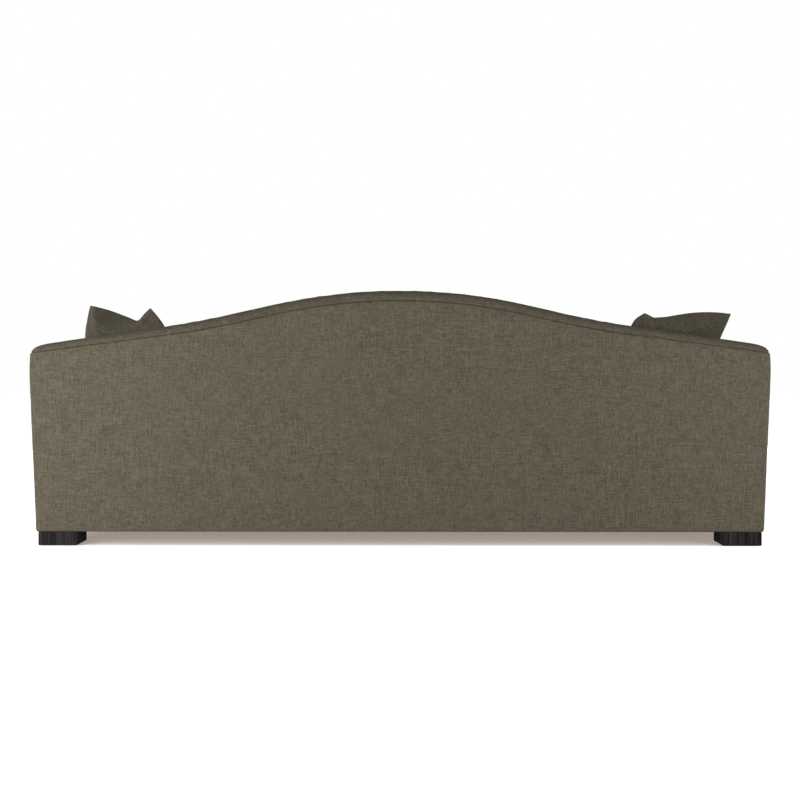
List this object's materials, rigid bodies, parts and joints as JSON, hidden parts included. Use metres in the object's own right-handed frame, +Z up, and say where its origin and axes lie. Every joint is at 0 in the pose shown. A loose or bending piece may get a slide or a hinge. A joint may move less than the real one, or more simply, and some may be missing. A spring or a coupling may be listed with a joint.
{
  "type": "camelback sofa",
  "caption": "Long camelback sofa with a serpentine upholstered back, thin flared track arms, seat cushions, throw pillows and low block feet.",
  "frame": {"origin": "on the floor under the middle of the whole sofa, the bottom centre of its bounding box", "axes": "+Z up, the front faces -Y, +X towards the left hand of a person who sits in it"},
  "size_m": [2.64, 0.965, 0.911],
  "materials": {
    "body_fabric": "matte",
    "cushion_fabric": "matte",
    "pillow_fabric": "matte",
    "cushion_foam": "matte",
    "pillow_fill": "matte",
    "webbing_jute": "matte",
    "dust_cloth": "matte",
    "frame_wood": "matte",
    "foot_wood": "satin",
    "zinc_steel": "satin",
    "glide_plastic": "matte"
  },
  "bodies": {
    "frame": {"front_seat_rail": "frame_wood", "deck_rear_rail": "frame_wood", "rear_seat_rail": "frame_wood", "side_seat_rail_left": "frame_wood", "side_seat_rail_right": "frame_wood", "arm_base_plate_left": "frame_wood", "arm_base_plate_right": "frame_wood", "seat_stretcher_1": "frame_wood", "seat_stretcher_2": "frame_wood", "seat_stretcher_3": "frame_wood", "corner_blocks": "frame_wood", "back_top_rail_front": "frame_wood", "back_top_rail_rear": "frame_wood", "back_lower_rail": "frame_wood", "back_rib_1": "frame_wood", "back_rib_2": "frame_wood", "back_rib_3": "frame_wood", "back_post_left": "frame_wood", "back_post_right": "frame_wood", "arm_front_post_left": "frame_wood", "arm_front_post_right": "frame_wood", "arm_top_rail_left": "frame_wood", "arm_top_rail_right": "frame_wood", "foot_rear_left": "foot_wood", "foot_rear_right": "foot_wood", "foot_front_left": "foot_wood", "foot_front_right": "foot_wood", "foot_bolts": "zinc_steel", "foot_tee_nuts": "zinc_steel", "foot_glides": "glide_plastic", "seat_webbing_side_to_side": "webbing_jute", "seat_webbing_front_to_back": "webbing_jute", "back_webbing": "webbing_jute", "back_top_band": "body_fabric", "outer_back_panel": "body_fabric", "inner_back_pad": "body_fabric", "arm_pad_left": "body_fabric", "arm_pad_right": "body_fabric", "outer_arm_panel_left": "body_fabric", "outer_arm_panel_right": "body_fabric", "arm_front_panel_left": "body_fabric", "arm_front_panel_right": "body_fabric", "seat_deck": "body_fabric", "front_border": "body_fabric", "dust_cover": "dust_cloth"},
    "seat_cushion_left": {"seat_cushion_cover_left": "cushion_fabric", "seat_cushion_core_left": "cushion_foam"},
    "seat_cushion_middle": {"seat_cushion_cover_middle": "cushion_fabric", "seat_cushion_core_middle": "cushion_foam"},
    "seat_cushion_right": {"seat_cushion_cover_right": "cushion_fabric", "seat_cushion_core_right": "cushion_foam"},
    "pillow_left": {"pillow_cover_left": "pillow_fabric", "pillow_insert_left": "pillow_fill"},
    "pillow_right": {"pillow_cover_right": "pillow_fabric", "pillow_insert_right": "pillow_fill"}
  },
  "joints": [
    {"name": "seat_cushion_left_lift", "type": "slide", "parent": "frame", "child": "seat_cushion_left", "axis": [0, 0, 1], "range_m": [0, 0.64]},
    {"name": "seat_cushion_middle_lift", "type": "slide", "parent": "frame", "child": "seat_cushion_middle", "axis": [0, 0, 1], "range_m": [0, 0.64]},
    {"name": "seat_cushion_right_lift", "type": "slide", "parent": "frame", "child": "seat_cushion_right", "axis": [0, 0, 1], "range_m": [0, 0.64]},
    {"name": "pillow_left_lift", "type": "slide", "parent": "seat_cushion_left", "child": "pillow_left", "axis": [0, 0, 1], "range_m": [0, 0.45]},
    {"name": "pillow_right_lift", "type": "slide", "parent": "seat_cushion_right", "child": "pillow_right", "axis": [0, 0, 1], "range_m": [0, 0.45]}
  ]
}
